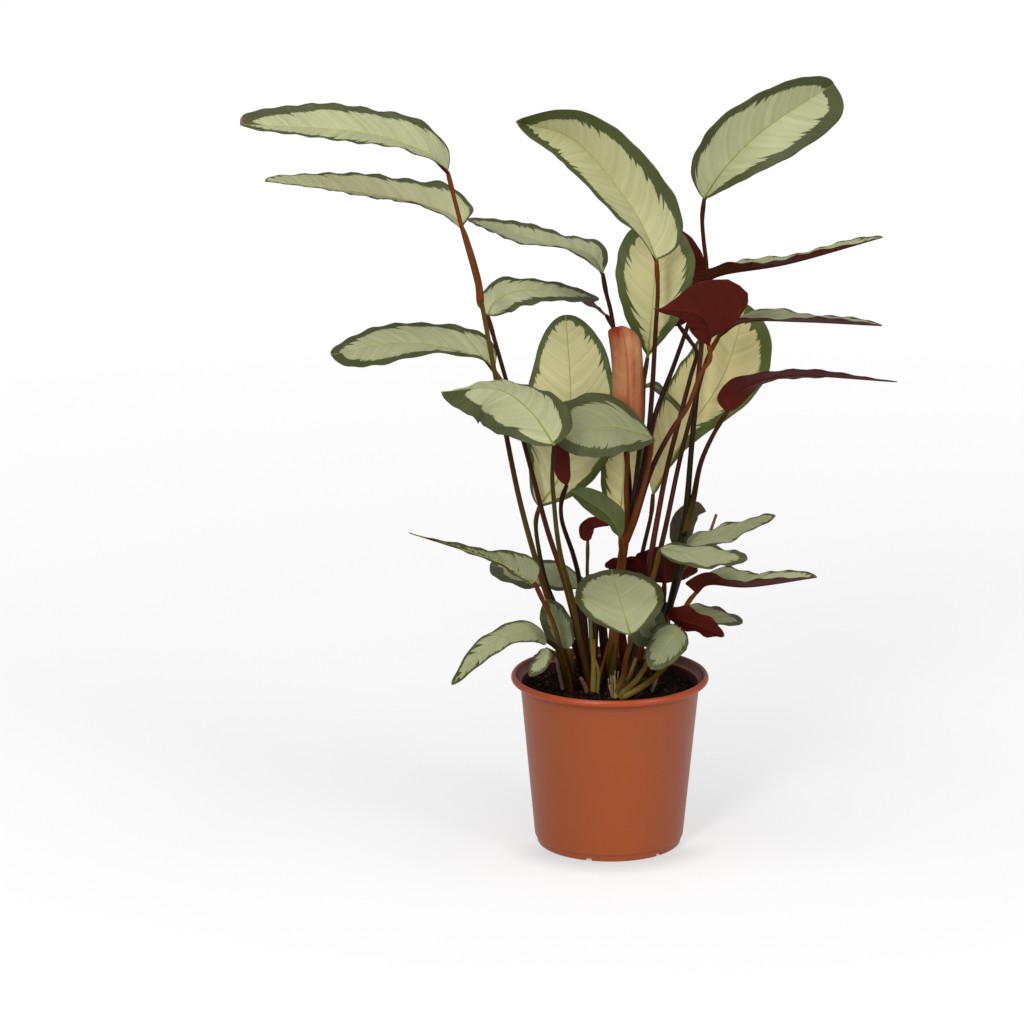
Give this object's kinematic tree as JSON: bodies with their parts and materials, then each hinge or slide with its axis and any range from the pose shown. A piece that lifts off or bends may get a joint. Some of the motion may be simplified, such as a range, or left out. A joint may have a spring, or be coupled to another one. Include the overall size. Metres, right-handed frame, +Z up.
{
  "type": "potted foliage plant",
  "caption": "Argentea calathea in a round terracotta-coloured nursery pot: silver leaves edged dark green with burgundy backs, on slim mahogany stalks.",
  "frame": {"origin": "middle of the pot's underside, on the surface that the pot stands on", "axes": "+Z up along the pot's axis, -Y towards the front that the picture shows, +X to the right seen from the front"},
  "size_m": [0.3833, 0.1893, 0.4671],
  "materials": {
    "pot_plastic": "satin terracotta-coloured plastic",
    "potting_soil": "dark crumbly potting soil",
    "stalk": "smooth mahogany stalk",
    "leaf_silver": "satin silver-green leaf with a dark green edge",
    "leaf_burgundy": "burgundy leaf back",
    "leaf_rolled": "young rolled leaf, pinkish red outside",
    "leaf_dry": "grey-brown ageing leaf",
    "cut_stalk": "pinkish-tan cut stalk"
  },
  "bodies": {
    "root": {"pot": "pot_plastic", "soil": "potting_soil", "shoot_a": "stalk", "shoot_b": "stalk", "shoot_c": "stalk", "shoot_d": "stalk", "shoot_e": "stalk", "shoot_f": "stalk", "shoot_g": "stalk", "shoot_h": "stalk", "shoot_i": "stalk", "leaf_a1": "leaf_silver", "leaf_a2": "leaf_silver", "leaf_b1": "leaf_silver", "leaf_b2": "leaf_silver", "leaf_b3": "leaf_silver", "leaf_c1": "leaf_silver", "leaf_c2": "leaf_burgundy", "leaf_c3": "leaf_silver", "leaf_c4": "leaf_burgundy", "leaf_d1": "leaf_rolled", "leaf_d2": "leaf_silver", "leaf_d3": "leaf_silver", "leaf_d4": "leaf_burgundy", "leaf_d5": "leaf_silver", "leaf_d6": "leaf_silver", "leaf_d7": "leaf_silver", "leaf_d8": "leaf_burgundy", "leaf_d9": "leaf_burgundy", "leaf_d10": "leaf_silver", "leaf_d11": "leaf_silver", "leaf_d12": "leaf_burgundy", "leaf_e1": "leaf_silver", "leaf_e2": "leaf_burgundy", "leaf_e3": "leaf_silver", "leaf_e4": "leaf_dry", "leaf_e5": "leaf_burgundy", "leaf_f1": "leaf_burgundy", "leaf_f2": "leaf_burgundy", "leaf_f3": "leaf_silver", "leaf_f4": "leaf_burgundy", "leaf_f5": "leaf_silver", "leaf_f6": "leaf_burgundy", "leaf_g1": "leaf_silver", "leaf_h1": "leaf_silver", "leaf_h2": "leaf_silver", "leaf_h3": "leaf_silver", "leaf_i1": "leaf_silver", "leaf_i2": "leaf_silver", "leaf_i3": "leaf_silver", "leaf_i4": "leaf_silver", "cut_stalk_left": "cut_stalk", "cut_stalk_right": "cut_stalk"}
  },
  "joints": []
}
